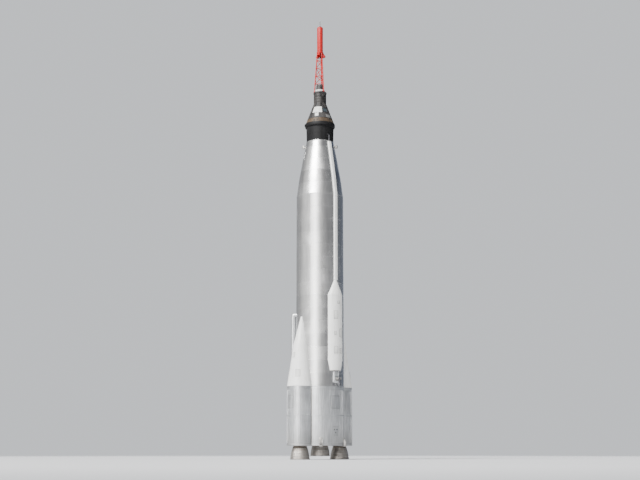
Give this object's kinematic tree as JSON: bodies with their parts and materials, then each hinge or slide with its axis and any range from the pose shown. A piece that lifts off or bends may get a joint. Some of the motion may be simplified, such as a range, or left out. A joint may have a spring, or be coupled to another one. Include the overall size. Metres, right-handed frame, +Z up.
{
  "type": "space rocket",
  "caption": "Crewed liquid-fuelled space rocket with polished tank, twin booster nacelles, side pods, cone-shaped crew capsule and red lattice escape tower.",
  "frame": {"origin": "on the rocket's axis, in the plane of the four hold-down feet's undersides, where a launcher grips the standing rocket", "axes": "+Z up along the rocket to the spike's tip, X through the two booster nacelles, -Y through the front equipment pod"},
  "size_m": [4.88, 3.908, 29.05],
  "materials": {
    "polished_steel": "polished bare stainless steel",
    "white_paint": "satin white paint",
    "silver_paint": "bare and silver-painted sheet metal",
    "black_paint": "matt black paint",
    "dark_shingle": "dark oxidised beaded metal shingles",
    "bronze": "brown-bronze metal",
    "red_paint": "satin orange-red paint",
    "engine_metal": "heat-tinted engine steel",
    "glass": "dark cabin window glass"
  },
  "bodies": {
    "airframe": {"tank_barrel": "polished_steel", "tank_taper": "polished_steel", "tank_aft_cone": "silver_paint", "oxidiser_duct": "silver_paint", "nacelle_shell_right": "silver_paint", "nacelle_shell_left": "silver_paint", "nacelle_nose_right": "white_paint", "nacelle_nose_left": "white_paint", "skirt_panel_rear": "silver_paint", "skirt_panel_front": "silver_paint", "flame_shield": "engine_metal", "thrust_frame": "engine_metal", "pod_front": "white_paint", "conduit_front": "white_paint", "vernier_mount_front": "silver_paint", "pod_rear": "white_paint", "conduit_rear": "white_paint", "vernier_mount_rear": "silver_paint", "vent_valve_right": "black_paint", "vent_valve_left": "black_paint", "capsule_adapter": "black_paint", "heat_shield": "bronze", "clamp_ring": "black_paint", "capsule_base_ring": "bronze", "capsule_cone": "dark_shingle", "cabin_window": "glass", "crew_couch": "white_paint", "recovery_section": "dark_shingle", "antenna_canister": "dark_shingle", "tower_truss": "red_paint", "escape_nozzles": "red_paint", "escape_motor": "red_paint", "aerodynamic_spike": "silver_paint"},
    "booster_cross_left": {"booster_gimbal_left": "engine_metal"},
    "booster_left": {"booster_engine_left": "engine_metal"},
    "booster_cross_right": {"booster_gimbal_right": "engine_metal"},
    "booster_right": {"booster_engine_right": "engine_metal"},
    "sustainer_cross": {"sustainer_gimbal": "engine_metal"},
    "sustainer": {"sustainer_engine": "engine_metal"},
    "vernier_swivel_front": {"vernier_yoke_front": "engine_metal"},
    "vernier_front": {"vernier_engine_front": "engine_metal"},
    "vernier_swivel_rear": {"vernier_yoke_rear": "engine_metal"},
    "vernier_rear": {"vernier_engine_rear": "engine_metal"},
    "hatch": {"crew_hatch": "dark_shingle"}
  },
  "joints": [
    {"name": "booster_left_pitch", "type": "hinge", "parent": "airframe", "child": "booster_cross_left", "pos_m": [-1.62, 0, 1.55], "axis": [1, 0, 0], "range_deg": [-5, 5]},
    {"name": "booster_left_yaw", "type": "hinge", "parent": "booster_cross_left", "child": "booster_left", "pos_m": [-1.62, 0, 1.55], "axis": [0, 1, 0], "range_deg": [-5, 5]},
    {"name": "booster_right_pitch", "type": "hinge", "parent": "airframe", "child": "booster_cross_right", "pos_m": [1.62, 0, 1.55], "axis": [1, 0, 0], "range_deg": [-5, 5]},
    {"name": "booster_right_yaw", "type": "hinge", "parent": "booster_cross_right", "child": "booster_right", "pos_m": [1.62, 0, 1.55], "axis": [0, 1, 0], "range_deg": [-5, 5]},
    {"name": "sustainer_pitch", "type": "hinge", "parent": "airframe", "child": "sustainer_cross", "pos_m": [0, 0, 1.87], "axis": [1, 0, 0], "range_deg": [-3, 3]},
    {"name": "sustainer_yaw", "type": "hinge", "parent": "sustainer_cross", "child": "sustainer", "pos_m": [0, 0, 1.87], "axis": [0, 1, 0], "range_deg": [-3, 3]},
    {"name": "vernier_front_swivel", "type": "hinge", "parent": "airframe", "child": "vernier_swivel_front", "pos_m": [0, -1.64, 4.15], "axis": [0, -1, 0], "range_deg": [-70, 70]},
    {"name": "vernier_front_tilt", "type": "hinge", "parent": "vernier_swivel_front", "child": "vernier_front", "pos_m": [0, -1.87, 4.15], "axis": [-1, 0, 0], "range_deg": [-20, 30]},
    {"name": "vernier_rear_swivel", "type": "hinge", "parent": "airframe", "child": "vernier_swivel_rear", "pos_m": [0, 1.64, 4.15], "axis": [0, 1, 0], "range_deg": [-70, 70]},
    {"name": "vernier_rear_tilt", "type": "hinge", "parent": "vernier_swivel_rear", "child": "vernier_rear", "pos_m": [0, 1.87, 4.15], "axis": [1, 0, 0], "range_deg": [-20, 30]},
    {"name": "hatch_release", "type": "slide", "parent": "airframe", "child": "hatch", "axis": [0.7165, -0.6012, 0.3538], "range_m": [0, 0.35]}
  ]
}
